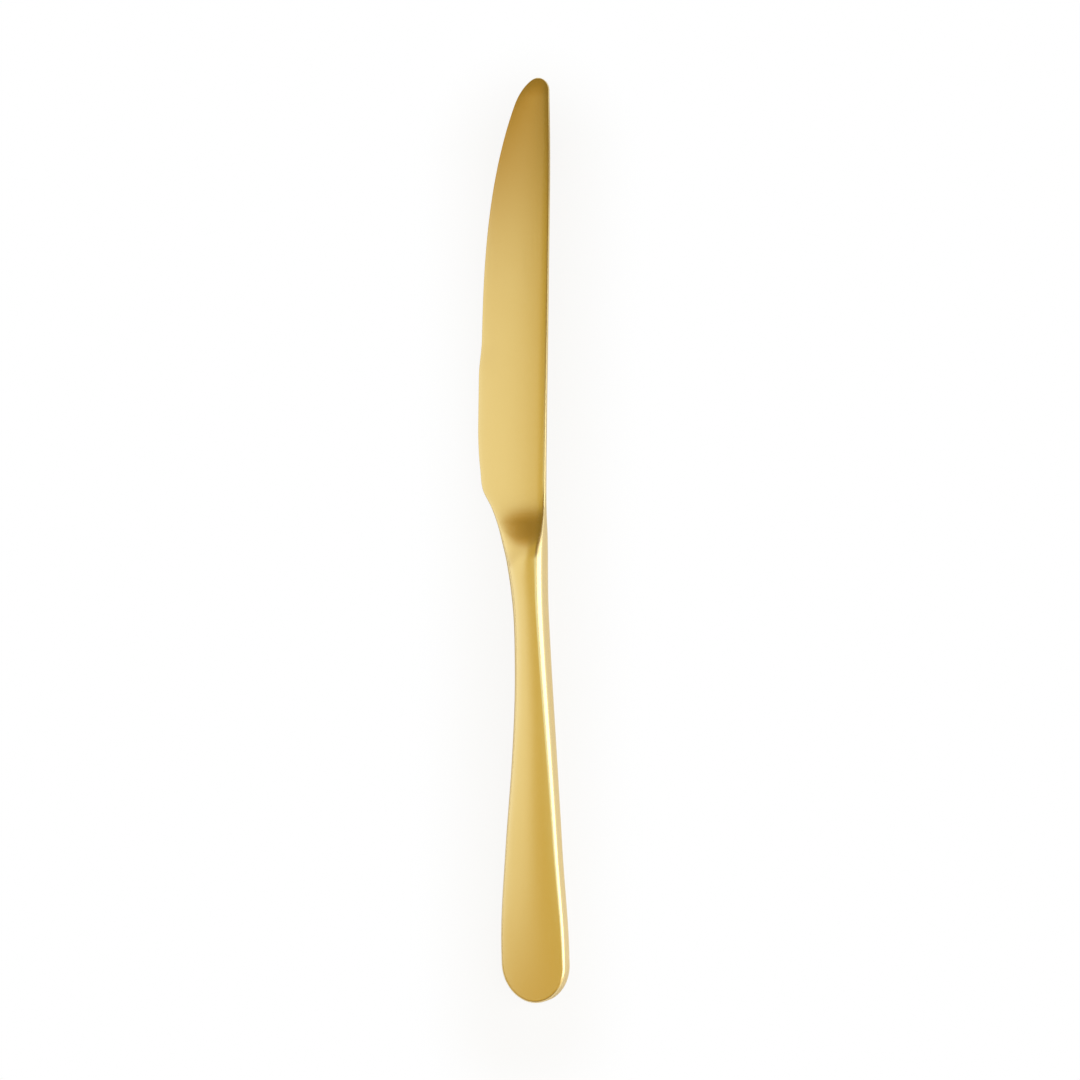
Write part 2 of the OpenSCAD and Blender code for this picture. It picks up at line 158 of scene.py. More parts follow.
panel("left_panel", (LEFT_X, NEAR_Y, HIGH), (-MAIN_W, 0, 0), (0, MAIN_LEN, 0),
      0.80, (0.90, 0.97, 1.0))
panel("left_panel_end", (LEFT_X, main_end_y, HIGH), (-END_W, 0, 0), (0, END_LEN, 0),
      0.26, (1.0, 0.58, 0.05))
panel("ceiling_strip", (LEFT_X, NEAR_Y, HIGH), (STRIP_W, 0, 0), (0, MAIN_LEN, 0),
      0.38, (1.0, 0.82, 0.20))
panel("ceiling_panel", (crown_x, NEAR_Y, HIGH), (CROWN_W, 0, 0), (0, CROWN_LEN, 0),
      0.83, (0.84, 0.98, 1.0))
panel("near_wall", (near_x, FIRST_Y, HIGH), (NEAR_W, 0, 0), (0, NEAR_Y - FIRST_Y, 0),
      0.33, (1.0, 0.72, 0.22))

# %% Panels on the right
LEAN_X, LEAN_HIGH, LEAN_SPAN = 200, 380, (290, 0, -345)
RIGHT_Y, RIGHT_LEN = -260, 310

panel("right_panel", (LEAN_X, RIGHT_Y, LEAN_HIGH), LEAN_SPAN, (0, RIGHT_LEN, 0),
      2.0, (0.92, 0.96, 1.0))
panel("right_panel_end", (LEAN_X, FIRST_Y, LEAN_HIGH), LEAN_SPAN, (0, RIGHT_Y - FIRST_Y, 0),
      0.5, (1.0, 0.8, 0.3))

# %% [markdown]
# ## Arithmetic on shader sockets
#
# A finish is made of nodes, and many of them only add or multiply. A small class
# wraps a socket, so that such sums are written as Python writes them. Any other
# node comes from its one method, `node`. Two kinds come up again and again and
# get a helper: a mix of two colours, and a smooth step from one value to another.

# %% Sockets
class Wire:
    """One socket of a node tree. Python's arithmetic on it adds Math nodes."""

    def __init__(self, tree, socket=None):
        self.tree, self.socket = tree, socket

    def node(self, kind, settings=None, inputs=None, output=0):
        """Add a node, set its settings and then its inputs, and hand back one output."""
        made = self.tree.nodes.new(kind)
        for name, value in (settings or {}).items():
            setattr(made, name, value)
        for name, value in (inputs or {}).items():
            if isinstance(value, Wire):
                self.tree.links.new(value.socket, made.inputs[name])
            else:
                made.inputs[name].default_value = value
        return Wire(self.tree, made.outputs[output] if len(made.outputs) else None)

    def _math(self, operation, first, second):
        return self.node("ShaderNodeMath", {"operation": operation}, {0: first, 1: second})

    def __add__(self, other):
        return self._math("ADD", self, other)

    def __sub__(self, other):
        return self._math("SUBTRACT", self, other)

    def __rsub__(self, other):
        return self._math("SUBTRACT", other, self)

    def __mul__(self, other):
        return self._math("MULTIPLY", self, other)

    def __pow__(self, other):
        return self._math("POWER", self, other)

    __radd__, __rmul__ = __add__, __mul__


def blend(wire, factor, first, second):
    """A mix of two colours."""
    return wire.node("ShaderNodeMix", {"data_type": "RGBA"},
                     {"Factor": factor, "A": first, "B": second}, output="Result")


def step(wire, value, start, end, low=0.0, high=1.0):
    """A smooth step from low to high while the value goes from start to end."""
    return wire.node("ShaderNodeMapRange", {"interpolation_type": "SMOOTHSTEP"},
                     {"Value": value, "From Min": start, "From Max": end,
                      "To Min": low, "To Max": high})


def new_material(name):
    """An empty material, and a Wire that adds nodes to it."""
    made = bpy.data.materials.new(name)
    made.use_nodes = True
    made.node_tree.nodes.clear()
    return made, Wire(made.node_tree)


print("socket arithmetic is ready")

# %% [markdown]
# ## Room
#
# The room is warm and dim, with walls a little lighter than the ceiling. It could
# be built of walls, or be a picture of a room. Two colours of the world are
# enough, because satin metal blurs what it mirrors, and they stand in no
# camera's way.

# %% Room
WALLS, CEILING = (0.36, 0.29, 0.18, 1), (0.25, 0.17, 0.035, 1)
WALL_ENDS, CEILING_STARTS = 0.45, 0.75

room = bpy.data.worlds.new("room")
room.use_nodes = True
room.node_tree.nodes.clear()
wire = Wire(room.node_tree)
way = wire.node("ShaderNodeTexCoord", output="Generated")
height = wire.node("ShaderNodeSeparateXYZ", None, {0: way}, output="Z")
above = step(wire, height, WALL_ENDS, CEILING_STARTS)
shade = blend(wire, above, WALLS, CEILING)
glow = wire.node("ShaderNodeBackground", None, {"Color": shade, "Strength": 1})
wire.node("ShaderNodeOutputWorld", None, {"Surface": glow})
bpy.context.scene.world = room
print("walls", WALLS[:3], "and ceiling", CEILING[:3])

# %% [markdown]
# ## Floor
#
# The floor is white. Its paper is lit by the lamps, but a photograph on pure
# white is brighter than that, so the rays that come from the camera, or by way
# of a mirror or a glass, see a share of plain white light in it. The share is
# smaller near the knife, so the floor keeps the knife's shadow, and the lit
# paper there also shows as a faint painted shade round the knife. For mirrored
# rays it is smaller still there: the knife's side walls mirror the strip of
# paper beside them, which lies partly in the knife's real shade and is painted
# darker still on the left and past both ends. All places here are metres from
# the knife's middle.

# %% Share of white light in the floor
SHADE_MIDDLE_Y, SHADE_HALF_LEN, MIRROR_MIDDLE_X = -0.012, 0.11, -0.01
SHADE_FROM, SHADE_TO, SHADE_SHARE = 0.006, 0.032, 0.9
MIRROR_FROM, MIRROR_TO = 0.018, 0.04
SIDE_FROM, SIDE_TO, LEFT_SHARE, RIGHT_SHARE = -0.002, 0.006, 0.05, 0.4
ENDS_FROM, ENDS_TO = 0.093, 0.108

paper, wire = new_material("white_paper")
place = wire.node("ShaderNodeTexCoord", output="Object")
beside = wire.node("ShaderNodeSeparateXYZ", None, {0: place}, output="X")
along = wire.node("ShaderNodeSeparateXYZ", None, {0: place}, output="Y")
apart = wire.node("ShaderNodeMath", {"operation": "ABSOLUTE"}, {0: along - SHADE_MIDDLE_Y})
beyond = wire.node("ShaderNodeMath", {"operation": "MAXIMUM"}, {0: apart - SHADE_HALF_LEN, 1: 0.0})


def distance(first, second):
    """How far a place is that lies first to the side and second along."""
    return (first * first + second * second) ** 0.5


# near the knife the camera sees less plain white: the knife's real shadow, and a faint painted shade
# round it where the paper is lit
seen_white_with_painted_shade = step(wire, distance(beside, beyond), SHADE_FROM, SHADE_TO, SHADE_SHARE)
# painted shade for mirror rays: less plain white on the knife's left and past both ends, which
# darkens what the side walls mirror
side = step(wire, beside, SIDE_FROM, SIDE_TO, LEFT_SHARE, RIGHT_SHARE)
ends = step(wire, apart, ENDS_FROM, ENDS_TO, side, 0.0)
mirror_white_with_painted_shade = step(wire, distance(beside - MIRROR_MIDDLE_X, beyond), MIRROR_FROM, MIRROR_TO, ends)
print("the floor keeps", round(1 - SHADE_SHARE, 2), "of the shadow beside the knife")

# %% White paper
FIBRES, FIBRE_DARK, FIBRE_PALE = 900, (0.88, 0.88, 0.88, 1), (0.91, 0.91, 0.91, 1)

camera_ray = wire.node("ShaderNodeLightPath", output="Is Camera Ray")
glossy_ray = wire.node("ShaderNodeLightPath", output="Is Glossy Ray")
glass_ray = wire.node("ShaderNodeLightPath", output="Is Transmission Ray")
fibre = wire.node("ShaderNodeTexNoise", None, {"Vector": place, "Scale": FIBRES, "Detail": 3})
tone = blend(wire, fibre, FIBRE_DARK, FIBRE_PALE)
matt = wire.node("ShaderNodeBsdfDiffuse", None, {"Color": tone})
white = wire.node("ShaderNodeEmission", None, {"Color": (1, 1, 1, 1), "Strength": 1})
plain_light = (camera_ray + glass_ray) * seen_white_with_painted_shade + glossy_ray * mirror_white_with_painted_shade
both = wire.node("ShaderNodeMixShader", None, {0: plain_light, 1: matt, 2: white})
wire.node("ShaderNodeOutputMaterial", None, {"Surface": both})
print("paper tones", FIBRE_DARK[:3], "to", FIBRE_PALE[:3])

# %% [markdown]
# Far away the floor rises in a low round wall, so a camera near the floor sees
# white too. It lies a hair below the knife's rest face, so that the two never
# share a plane. `strip` makes the faces between rows of points. The knife's own
# pieces use it again.

# %% Floor shape
FLOOR_RINGS, FLOOR_R = (0.2, 0.5, 1.0), 2.3
WALL_R, WALL_H, WALL_START, WALL_STEPS = 0.3, 0.5, 0.2, 8
SPOKES, FLOOR_DROP = 96, 0.00002


def strip(rows, count, start=0, closed=False, flip=False):
    """Faces between rows of count points, the first of them number start."""
    i = np.arange(rows - 1)[:, None] * count + start
    j = np.arange(count if closed else count - 1)[None, :]
    after = (j + 1) % count
    quads = np.stack([i + j, i + after, i + after + count, i + j + count], -1).reshape(-1, 4)
    return (quads[:, ::-1] if flip else quads).tolist()


profile = [(r, 0.0) for r in (*FLOOR_RINGS, FLOOR_R)]
profile += [(FLOOR_R + WALL_R * math.sin(t), WALL_R * (1 - math.cos(t)))
            for t in np.linspace(WALL_START, math.pi / 2, WALL_STEPS)]
profile += [(FLOOR_R + WALL_R, WALL_H)]
spokes = np.arange(SPOKES) * 2 * math.pi / SPOKES
rim = [(r * math.cos(t), r * math.sin(t), h) for r, h in profile for t in spokes]
faces = [(0, 1 + k, 1 + (k + 1) % SPOKES) for k in range(SPOKES)]
faces += strip(len(profile), SPOKES, start=1, closed=True, flip=True)

floor_mesh = bpy.data.meshes.new("floor")
floor_mesh.from_pydata([(0, 0, 0)] + rim, [], faces)
floor_mesh.polygons.foreach_set("use_smooth", [True] * len(faces))
floor_mesh.materials.append(paper)
floor = bpy.data.objects.new("floor", floor_mesh)
floor.location.z = -FLOOR_DROP
bpy.context.scene.collection.objects.link(floor)
print("floor faces:", len(faces))

# %% [markdown]
# ## Drawing helpers
#
# Every shape below is a value that changes from one place to another, so three
# helpers say how it changes: `mix` evenly, `smooth` with level ends, and `curve`
# through chosen points. They take whole arrays of places at once.

# %% Helpers
def mix(a, b, t):
    """The value that lies the share t of the way from a to b."""
    return a + (b - a) * t


def share(t):
    """A share, kept from 0 to 1."""
    return np.clip(t, 0, 1)


def smooth(t):
    """An even step from 0 to 1 with level ends."""
    t = share(t)
    return t * t * (3 - 2 * t)


def curve(points, u):
    """The smooth curve through points (place, value), level at both ends."""
    x, y = np.array(points, float).T
    u = np.clip(u, x[0], x[-1])
    gap, rise = np.diff(x), np.diff(y) / np.diff(x)
    slope = np.zeros(len(x))
    slope[1:-1] = (rise[:-1] * gap[1:] + rise[1:] * gap[:-1]) / (gap[:-1] + gap[1:])
    i = np.clip(np.searchsorted(x, u, side="left") - 1, 0, len(gap) - 1)
    t = (u - x[i]) / gap[i]
    return (y[i] * (1 + 2 * t) * (1 - t) ** 2 + slope[i] * gap[i] * t * (1 - t) ** 2
            + y[i + 1] * t * t * (3 - 2 * t) - slope[i + 1] * gap[i] * t * t * (1 - t))


print("halfway on an even step:", float(smooth(0.5)))

# %% [markdown]
# ## Outlines of the knife
#
# Seen from above, the knife has two sides: the spine side, which is almost
# straight, and the edge side, which runs from the butt to a slim waist, out over
# the heel to the widest place of the blade, and back along the belly to the tip.
# Each side is one smooth curve through a few chosen points, level at its ends,
# because a drawn curve through few points has no bumps. A point is a pair of
# shares: how far along its part, and how far from one width to the other.

# %% Spine side, seen from above
BUTT_W, NECK_SPINE, HEEL_SPINE, TIP_SPINE = 17.1, 3.05, 3.1, 4.1
SPINE_SIDE = [(0.114, 1), (0.334, 0.72), (0.555, 0.43), (0.665, 0.276), (0.775, 0.132),
              (0.886, 0.018), (1, 0)]
SPINE_LINE = [(0.14, 0), (0.53, 0.616), (0.85, 1), (1, 0.82)]

spine_points = [(s * HANDLE_LEN, mix(NECK_SPINE, BUTT_W / 2, v)) for s, v in SPINE_SIDE]
spine_points += [(HANDLE_LEN + s * BLADE_LEN, mix(HEEL_SPINE, TIP_SPINE, v)) for s, v in SPINE_LINE]


def spine_x(y):
    """The spine side of the outline."""
    return curve(spine_points, y)


print("spine side at the tip:", round(float(spine_x(OVERALL)), 2), "mm")

# %% Edge side, seen from above
BLADE_W, BELLY_LEN, TIP_W, BELLY_POWER, WAIST_EDGE = 18.3, 89.0, 6.2, 3.87, 4.6
GRIND_DEPTH, GRIND_LEN, GRIND_STEP = 0.6, 71.0, 9.0
EDGE_SIDE = [(0.114, 1), (0.334, 0.665), (0.555, 0.171), (0.665, 0.02), (0.753, 0)]
HEEL_SIDE = [(0.25, 0.062), (0.4, 0.19), (0.5, 0.34), (0.58, 0.475), (0.665, 0.67), (0.73, 0.867),
             (0.82, 0.943), (1, 1)]

widest_y = OVERALL - BELLY_LEN
widest_x = float(spine_x(widest_y)) - BLADE_W
waist_y = EDGE_SIDE[-1][0] * HANDLE_LEN
edge_points = [(s * HANDLE_LEN, -mix(WAIST_EDGE, BUTT_W / 2, v)) for s, v in EDGE_SIDE]
edge_points += [(mix(waist_y, widest_y, s), mix(-WAIST_EDGE, widest_x, v)) for s, v in HEEL_SIDE]


def past_grind(y):
    """From 0 where the edge is ground to 1 below that, with the small step between."""
    return smooth((OVERALL - y - GRIND_LEN) / GRIND_STEP + 0.5)


def belly_x(y):
    """The edge side from the tip to the widest place, carried on below it."""
    narrowing = (BLADE_W - GRIND_DEPTH - TIP_W) * share(1 - (OVERALL - y) / BELLY_LEN) ** BELLY_POWER
    return spine_x(y) - (BLADE_W - GRIND_DEPTH * (1 - past_grind(y)) - narrowing)


def edge_x(y):
    """The edge side of the outline."""
    return np.where(y < widest_y, curve(edge_points, y), belly_x(y))


print("greatest width in mm:", round(float(spine_x(widest_y) - edge_x(widest_y)), 2))

# %% [markdown]
# ## Heights of the faces
#
# The blade is thickest a little below its spine and thins towards the edge, and
# its face rolls off beside the spine. The ramp leaves the blade softly, in a
# hollow that bends more and more, and then runs straight up to the bolster. On
# the edge side both ramp and bolster fall away to the heel, by the same share of
# their height.

# %% Height of the blade's face
BOLSTER_LEN, CREST_BACK, RAMP_LEN, RAMP_ARC, ARC_POWER = 8.3, 0.8, 17.8, 10.3, 2.5
TIP_T, HEEL_T, EDGE_T, HEEL_EDGE_T = 1.15, 1.5, 0.3, 0.4
THICKEST, ROLL_DEPTH, ROLL_POWER = 0.75, 0.15, 3
ROLL_TIP_W, ROLL_W, ROLL_WIDENS = 1.5, 2.4, 40

mouth_y = HANDLE_LEN - BOLSTER_LEN
ramp_top = HANDLE_LEN - CREST_BACK + RAMP_LEN


def blade_z(x, y):
    """Height of the blade's face above the middle plane."""
    f = share((x - belly_x(y)) / (spine_x(y) - belly_x(y)))
    rise = (1 - (1 - f / THICKEST) ** 2) / (1 - (1 - 1 / THICKEST) ** 2)
    spine_half = mix(TIP_T, HEEL_T, share((OVERALL - y) / (OVERALL - ramp_top))) / 2
    edge_half = mix(EDGE_T, HEEL_EDGE_T, past_grind(y)) / 2
    roll_w = mix(ROLL_TIP_W, ROLL_W, share((OVERALL - y) / ROLL_WIDENS))
    roll = share((x - spine_x(y) + roll_w) / roll_w) ** ROLL_POWER
    return mix(edge_half, spine_half, rise) - ROLL_DEPTH * spine_half * 2 / HEEL_T * roll


print("ramp from", ramp_top, "mm, mouth of the handle at", mouth_y, "mm")

# %% Height of the ramp
RAMP_FALL, FALL_W = 0.55, 0.72

ramp_slope = (NECK_T - HEEL_T) / 2 / (RAMP_LEN - RAMP_ARC * (1 - 1 / ARC_POWER))


def hollow(y):
    """How far the ramp has risen from the blade, before it falls away to one side."""
    far = np.maximum(0, ramp_top - y)
    arc = ramp_slope * RAMP_ARC / ARC_POWER * np.minimum(1, far / RAMP_ARC) ** ARC_POWER
    return arc + ramp_slope * np.maximum(0, far - RAMP_ARC)


def fall(x, y):
    """How far a place has fallen away to the edge side, from 0 to 1."""
    return share(1 - (x - edge_x(y)) / ((spine_x(y) - edge_x(y)) * FALL_W)) ** 2


def ramp_z(x, y):
    """Height of the blade and its ramp."""
    return blade_z(x, y) + hollow(y) * (1 - RAMP_FALL * fall(x, y))


print("slope of the ramp:", round(ramp_slope, 3))

# %% [markdown]
# The handle is crowned across, strongly at the neck and hardly at the butt, and
# leans a little to the spine side at its round end. The lower one of ramp and
# handle counts, with a small blend where they meet: that gives the crest its
# slanting line, which no straight cut would. A height may have a `land`, the
# half width of a flat ground along its middle.

# %% Height of the handle
BUTT_CAP, BUTT_LEAN, LEAN_LEN = 9.9, 0.75, 3
BUTT_CROWN, NECK_CROWN = 280, 23
FLANK_DROP, FLANK_RUN = 1.1, 11


def lean(y):
    """How far the butt's round end leans to the spine side."""
    return BUTT_LEAN * share(1 - y / (LEAN_LEN * BUTT_CAP)) ** 2


def handle_z(x, y, land=0):
    """Height of the handle and bolster above the middle plane."""
    middle = (edge_x(y) + spine_x(y)) / 2 + lean(y)
    bend = mix(1 / BUTT_CROWN, 1 / NECK_CROWN, share(y / HANDLE_LEN))
    flank = FLANK_DROP * fall(x, y) * smooth((y - mouth_y) / FLANK_RUN)
    crown = np.maximum(0, np.abs(x - middle) - land) ** 2 * bend / 2
    return mix(BUTT_T, NECK_T, y / HANDLE_LEN) / 2 - crown - flank


print("half thickness at the mouth:", round(float(handle_z(0, np.array(mouth_y))), 2), "mm")

# %% Height of any face
CREST_BLEND, NEVER_ZERO = 1.0, 1e-9


def face_z(x, y, land=0):
    """Height of the whole knife's face: blade, crest of the ramp, and handle."""
    ramp, top = ramp_z(x, y), handle_z(x, y)
    ends = smooth((y - mouth_y) / BOLSTER_LEN) * smooth(2 * (ramp_top - y) / RAMP_LEN)
    reach = CREST_BLEND * ends + NEVER_ZERO
    near = share(1 - np.abs(ramp - top) / reach)
    crest = np.minimum(ramp, top) - near ** 2 * reach / 4
    return np.where(y >= ramp_top, blade_z(x, y), np.where(y > mouth_y, crest, handle_z(x, y, land)))


print("half thickness at the crest:", round(float(face_z(0, np.array(HANDLE_LEN))), 2), "mm")

# %% [markdown]
# ## Sections
#
# The whole knife is one row of half sections. A half section starts on the
# middle plane at the edge side, goes up the wall, round the shoulder, across the
# face, round the other shoulder and down. Rows of sections are a loft, the way
# in which a shape that changes all along its length is drawn. A forging has no
# sharp edges, so each shoulder is a true arc that meets the face in its slope.
# Its radius is the wanted one, where height and width leave room for it.

# %% Shoulders
SHOULDER = 9
CORNER_BUTT, CORNER_NECK, CORNER_RUN = 0.75, 2.1, 10
SPINE_ROUND, RAMP_ROUND, ROUND_START, ROUND_RUN = 0.22, 0.5, 2, 8
MOST_OF_HEIGHT, MOST_OF_WIDTH = 0.85, 0.42
LEAST_R, LEAST_OF_HEIGHT, LEAST_OF_WIDTH = 0.2, 0.5, 0.2


def fitted(wanted, height, width, inset):
    """The radius of a shoulder that fits a height and a width."""
    most = np.minimum((height + inset) * MOST_OF_HEIGHT, (width + 2 * inset) * MOST_OF_WIDTH)
    least = np.minimum(np.minimum(LEAST_R, width * LEAST_OF_WIDTH), height * LEAST_OF_HEIGHT)
    return np.maximum(np.minimum(wanted, most) - inset, least)


def wanted_radii(y, spine_height):
    """The radii wanted on the edge side and on the spine side."""
    corner = mix(CORNER_BUTT, CORNER_NECK, share(y / HANDLE_LEN))
    spine_share = mix(SPINE_ROUND, RAMP_ROUND, smooth((ramp_top + ROUND_START - y) / ROUND_RUN))
    on_handle = smooth((HANDLE_LEN - y) / CORNER_RUN + 0.5)
    return corner, mix(spine_height * spine_share, corner, on_handle)


print("shoulders of", SHOULDER + 1, "points")

# %% Half sections
ACROSS = np.concatenate([[0.012, 0.03, 0.055], np.linspace(0.085, 0.915, 34),
                         [0.945, 0.965, 0.98, 0.992]])
POINTS = 2 * SHOULDER + len(ACROSS) + 4
SLOPE_STEPS = 50


def half_sections(left, right, out_left, out_right, inset=0.0, foot=0.0, land=0.0, room_for=None):
    """Half sections between two rows of side points, whose plan directions point outwards."""
    left, right = left - out_left * inset, right - out_right * inset
    y, width = left[:, 1], right[:, 0] - left[:, 0]
    step_x = width / SLOPE_STEPS
    reach = width if room_for is None else room_for

    def face(x):
        return face_z(x, y, land) - inset

    def shoulder(side, out, inwards, wanted):
        """The slope in which a shoulder meets the face, the place, and its points by angle."""
        radius = fitted(wanted, face(side[:, 0]), reach, inset)
        x = side[:, 0] + inwards * radius
        slope = np.arctan((face(x + inwards * step_x) - face(x)) / step_x)
        start = side - out * (radius * (1 - np.sin(slope)))[:, None]
        centre = face_z(start[:, 0], start[:, 1], land) - inset - radius * np.cos(slope)

        def at(angle):
            plan = side - out * (radius * (1 - np.sin(angle)))[:, None]
            return np.column_stack([plan, centre + radius * np.cos(angle)])

        return slope, start, at

    corner, spine = wanted_radii(y, face(right[:, 0]) + inset)
    edge_slope, edge_start, edge_at = shoulder(left, out_left, 1, corner)
    spine_slope, spine_start, spine_at = shoulder(right, out_right, -1, spine)
    turns = np.arange(SHOULDER + 1) / SHOULDER

    points = [np.column_stack([left, np.full(len(left), foot)])]
    points += [edge_at(mix(math.pi / 2, edge_slope, t)) for t in turns]
    for s in ACROSS:
        plan = mix(edge_start, spine_start, s)
        points.append(np.column_stack([plan, face_z(plan[:, 0], plan[:, 1], land) - inset]))
    points += [spine_at(mix(spine_slope, math.pi / 2, t)) for t in turns]
    points.append(np.column_stack([right, np.full(len(right), foot)]))
    return np.stack(points, 1)


print("points in a half section:", POINTS)

# %% [markdown]
# The sections of the blade and the handle lie square to the length. The tip is
# drawn in by a round on each side, in shares of its width. Round the butt the
# sections follow the round end, so the shoulder goes round without a step.

# %% Rows of half sections
TIP_ROUND_EDGE, TIP_ROUND_SPINE, APEX = 6.6, 3.3, 0.51
tip_w = spine_x(OVERALL) - belly_x(OVERALL)


def round_in(far, size):
    """How far a round of the tip draws in, as a share of its width."""
    return np.where(far < size, 1 - np.sqrt(np.maximum(0, 1 - (1 - far / size) ** 2)), 0)


def straight(y, **how):
    """Half sections square to the length, at the places y."""
    y = np.asarray(y, float)
    edge = edge_x(y) + tip_w * APEX * round_in(OVERALL - y, TIP_ROUND_EDGE) + lean(y)
    spine = spine_x(y) - tip_w * (1 - APEX) * round_in(OVERALL - y, TIP_ROUND_SPINE) + lean(y)
    sideways = np.column_stack([np.ones_like(y), np.zeros_like(y)])
    return half_sections(np.column_stack([edge, y]), np.column_stack([spine, y]),
                         -sideways, sideways, **how)


def round_end(t, **how):
    """Half sections that follow the butt's round end, at the angles t from its apex."""
    y = BUTT_CAP * (1 - np.cos(t))
    out = np.column_stack([BUTT_CAP * np.sin(t), -BUTT_W / 2 * np.cos(t)])
    out /= np.linalg.norm(out, axis=1)[:, None]
    return half_sections(np.column_stack([lean(y) + edge_x(y) * np.sin(t), y]),
                         np.column_stack([lean(y) + spine_x(y) * np.sin(t), y]),
                         out * [-1, 1], out, room_for=spine_x(y) - edge_x(y), **how)


print("width of the tip before its rounds:", round(float(tip_w), 2), "mm")

# %% [markdown]
# ## From sections to a piece
#
# A piece is points and the faces between neighbouring sections. Every point also
# keeps how near it is to a shoulder, because that is where a coated knife is
# rubbed first, in the drawer and in the hand, and where its bright lines of light
# fall. The finish reads it and paints those places paler: partly wear, partly a
# painted highlight.

# %% Pieces
WEAR_AND_HIGHLIGHT_FADE, SHARP_ANGLE = 0.7, math.radians(40)


def wear_and_highlight_share(sections):
    """How near each point is to a shoulder: 1 on it, fading out beside it."""
    first, last = 1 + SHOULDER, sections.shape[1] - 2 - SHOULDER
    x = sections[:, :, 0]
    near = np.minimum(np.abs(x - x[:, first:first + 1]), np.abs(x - x[:, last:last + 1]))
    out = np.exp(-near / WEAR_AND_HIGHLIGHT_FADE)
    out[:, 1:first + 1], out[:, last:-1] = 1, 1
    return out


def piece(name, points, faces, wear_and_highlight_mask, node, finish):
    """A smooth piece on the table, in place of its CAD node."""
    mesh = bpy.data.meshes.new(name)
    mesh.from_pydata(on_table(points).tolist(), [], faces)
    mesh.polygons.foreach_set("use_smooth", [True] * len(mesh.polygons))
    mesh.set_sharp_from_angle(angle=SHARP_ANGLE)
    # how near each point is to a shoulder, where the finish paints paler gold: wear and painted
    # highlight
    layer = mesh.attributes.new("wear_and_highlight_mask", "FLOAT", "POINT")
    layer.data.foreach_set("value", np.asarray(wear_and_highlight_mask, float).ravel())
    mesh.materials.append(finish)
    mesh.validate()
    made = bpy.data.objects.new(name, mesh)
    bpy.context.scene.collection.objects.link(made)
    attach(made, "root")
    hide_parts(node)
    print(name, "has", len(mesh.polygons), "faces")


print("pieces can be made")

# %% [markdown]
# ## Satin gold
#
# The knife is stainless steel, brushed along its length and then coated with a
# thin gold-coloured film. The film copies the brushing below it. So the finish
# is a metal whose roughness and height follow fine lines: about a tenth of a
# millimetre wide, and a centimetre or more long. The lines could come from a
# picture of brushed metal, but noise made by nodes has no seams and stays sharp
# from close by. Wide, faint clouds keep the colour from being one flat tone, as
# the film's thickness varies. The shoulders are slightly paler and smoother, in
# uneven patches, where hands and drawers rub the film; the paler colour there is
# also a painted highlight, which makes the bright lines on the shoulders whiter.

# %% Brushed lines
FINE_W, FINE_LEN, BROAD_W, BROAD_LEN = 0.00012, 0.011, 0.0006, 0.030
FINE_SHARE = 0.65


def lines(wire, place, wide, long, detail):
    """Noise drawn out along the knife: lines wide and long, in metres."""
    drawn = wire.node("ShaderNodeVectorMath", {"operation": "MULTIPLY"},
                      {0: place, 1: (1 / wide, 1 / long, 1 / wide)})
    return wire.node("ShaderNodeTexNoise", None,
                     {"Vector": drawn, "Scale": 1.0, "Detail": detail, "Roughness": 0.55})


def brushing(wire, place):
    """Fine brushed lines over broader ones, from 0 to 1."""
    fine = lines(wire, place, FINE_W, FINE_LEN, 2)
    broad = lines(wire, place, BROAD_W, BROAD_LEN, 3)
    return fine * FINE_SHARE + broad * (1 - FINE_SHARE)


print("fine lines", round(FINE_W / MM, 2), "mm wide and", round(FINE_LEN / MM), "mm long")

# %% Coated steel
# the paler gold of the shoulders stands for rubbed film and also paints a whiter highlight there
GOLD, WORN_AND_HIGHLIGHT_GOLD = (0.90, 0.70, 0.30), (0.93, 0.77, 0.43, 1)
DEEP, PALE, BRAZE_SHADE = (0.975, 0.955, 0.90), (1.02, 1.045, 1.14), 0.985
CLOUDS, CLOUD_SHARE, WEAR_AND_HIGHLIGHT_LEAST, WEAR_AND_HIGHLIGHT_CLOUDS = 38, 0.6, 0.45, 0.4
STEEL_ROUGH, BRAZE_ROUGH, GRAIN_ROUGH, WORN_SMOOTH = 0.25, 0.28, 0.08, 0.05
BUMP_STRENGTH, BUMP_HEIGHT = 0.25, 0.000012


def shaded(color, shares):
    """A colour with each of its parts taken by a share."""
    return tuple(min(1, c * s) for c, s in zip(color, shares)) + (1,)


def coated_steel(name, color, rough):
    """Brushed steel under a film of the given colour."""
    made, wire = new_material(name)
    place = wire.node("ShaderNodeTexCoord", output="Object")
    grain = brushing(wire, place)
    cloud = wire.node("ShaderNodeTexNoise", None,
                      {"Vector": place, "Scale": CLOUDS, "Detail": 4, "Roughness": 0.6})
    wear_and_highlight_mask = wire.node("ShaderNodeAttribute", {"attribute_name": "wear_and_highlight_mask"}, output="Fac")
    # paler on the shoulders: partly wear, partly painted highlight
    wear_and_highlight = wear_and_highlight_mask * (cloud * WEAR_AND_HIGHLIGHT_CLOUDS + WEAR_AND_HIGHLIGHT_LEAST)
    film = blend(wire, cloud * CLOUD_SHARE + grain * (1 - CLOUD_SHARE),
                 shaded(color, DEEP), shaded(color, PALE))
    shader = wire.node("ShaderNodeBsdfPrincipled", None, {
        "Base Color": blend(wire, wear_and_highlight, film, WORN_AND_HIGHLIGHT_GOLD),
        "Metallic": 1.0,
        "Roughness": grain * GRAIN_ROUGH + (rough - GRAIN_ROUGH / 2) - wear_and_highlight * WORN_SMOOTH,
        "Normal": wire.node("ShaderNodeBump", None, {
            "Strength": BUMP_STRENGTH, "Distance": BUMP_HEIGHT, "Height": grain}),
    })
    wire.node("ShaderNodeOutputMaterial", None, {"Surface": shader})
    return made


